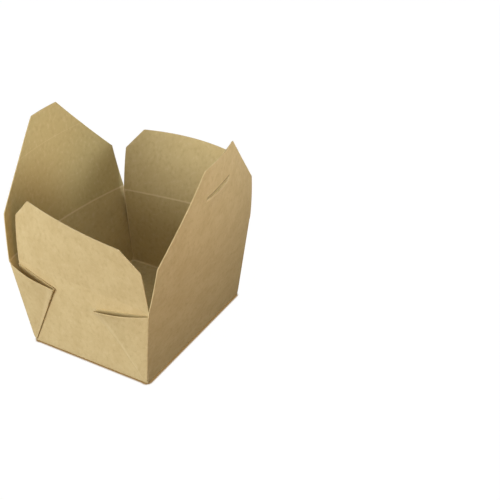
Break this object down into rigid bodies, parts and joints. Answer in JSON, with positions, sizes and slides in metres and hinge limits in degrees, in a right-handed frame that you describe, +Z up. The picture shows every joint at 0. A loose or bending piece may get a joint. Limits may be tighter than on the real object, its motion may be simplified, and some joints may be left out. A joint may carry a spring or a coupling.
{
  "type": "folded kraft takeaway box",
  "caption": "Takeaway food box folded from one sheet of brown kraft board: a tapered tray with folded corner ears and hinged tongue and end flaps, shown open.",
  "frame": {"origin": "centre of the underside of the floor", "axes": "+Z up; +Y along the length, from the near end wall to the far one; +X across the width, to the right side wall"},
  "size_m": [0.1328, 0.1273, 0.1435],
  "materials": {
    "kraft_board": "uncoated brown kraft board, matt, with fine fibres"
  },
  "bodies": {
    "tray": {"tray": "kraft_board"},
    "near_end_flap": {"near_end_flap": "kraft_board"},
    "far_end_flap": {"far_end_flap": "kraft_board"},
    "left_side_flap": {"left_side_flap": "kraft_board"},
    "right_side_flap": {"right_side_flap": "kraft_board"}
  },
  "joints": [
    {"name": "near_end_crease", "type": "hinge", "parent": "tray", "child": "near_end_flap", "pos_m": [0, -0.0592, 0.062], "axis": [-1, 0, 0], "range_deg": [-90, 100]},
    {"name": "far_end_crease", "type": "hinge", "parent": "tray", "child": "far_end_flap", "pos_m": [0, 0.0592, 0.062], "axis": [1, 0, 0], "range_deg": [-83, 107]},
    {"name": "left_side_crease", "type": "hinge", "parent": "tray", "child": "left_side_flap", "pos_m": [-0.05375, 0, 0.063], "axis": [0, 1, 0], "range_deg": [-86, 94]},
    {"name": "right_side_crease", "type": "hinge", "parent": "tray", "child": "right_side_flap", "pos_m": [0.05375, 0, 0.063], "axis": [0, -1, 0], "range_deg": [-82, 91]}
  ]
}
